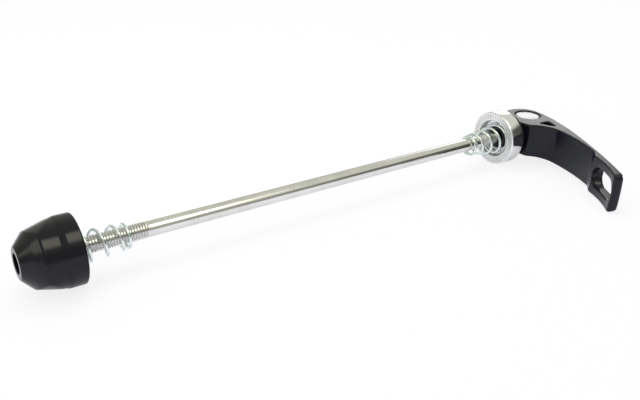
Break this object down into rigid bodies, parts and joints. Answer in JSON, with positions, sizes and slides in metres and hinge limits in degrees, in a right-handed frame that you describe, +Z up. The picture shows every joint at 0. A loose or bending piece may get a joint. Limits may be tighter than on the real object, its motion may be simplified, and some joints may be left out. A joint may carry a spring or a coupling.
{
  "type": "quick release skewer",
  "caption": "Bicycle wheel quick release skewer: a threaded steel rod with a cam lever and clamp cap at one end, a grip nut at the other, and two conical springs.",
  "frame": {"origin": "centre of the cap's clamp face, on the rod's axis", "axes": "+X along the rod towards the lever, -Y the way the closed lever points, +Z up from the floor it lies on"},
  "size_m": [0.2014, 0.0677, 0.02],
  "materials": {
    "rod_steel": "polished, drawn along the rod",
    "pin_steel": "ground and zinc plated",
    "lever_black": "black satin paint",
    "cap_chrome": "bright chrome",
    "bush_nylon": "moulded black nylon",
    "spring_zinc": "zinc plated wire",
    "insert_steel": "zinc plated",
    "nut_black": "moulded gloss black"
  },
  "bodies": {
    "rod": {"skewer_rod": "rod_steel", "pivot_pin": "pin_steel"},
    "lever": {"lever": "lever_black"},
    "cap": {"cap": "cap_chrome", "cam_bush": "bush_nylon", "lever_spring": "spring_zinc"},
    "nut_carrier": {"nut_spring": "spring_zinc"},
    "nut": {"nut_insert": "insert_steel", "nut_body": "nut_black"}
  },
  "joints": [
    {"name": "lever_swing", "type": "hinge", "parent": "rod", "child": "lever", "pos_m": [0.0186, 0, 0], "axis": [0, -0.0598, 0.9982], "range_deg": [0, 180]},
    {"name": "cap_slide", "type": "slide", "parent": "rod", "child": "cap", "axis": [1, 0, 0], "range_m": [0, 0.00321]},
    {"name": "nut_travel", "type": "slide", "parent": "rod", "child": "nut_carrier", "axis": [1, 0, 0], "range_m": [-0.00321, 0.00641]},
    {"name": "nut_turn", "type": "hinge", "parent": "nut_carrier", "child": "nut", "pos_m": [-0.165, 0, 0], "axis": [1, 0, 0], "range_deg": [-1440, 2880]}
  ],
  "couplings": [
    {"joint": "cap_slide", "follows": "lever_swing", "m_per_rad": 0.0010186},
    {"joint": "nut_travel", "follows": "nut_turn", "m_per_rad": 0.00012732}
  ]
}
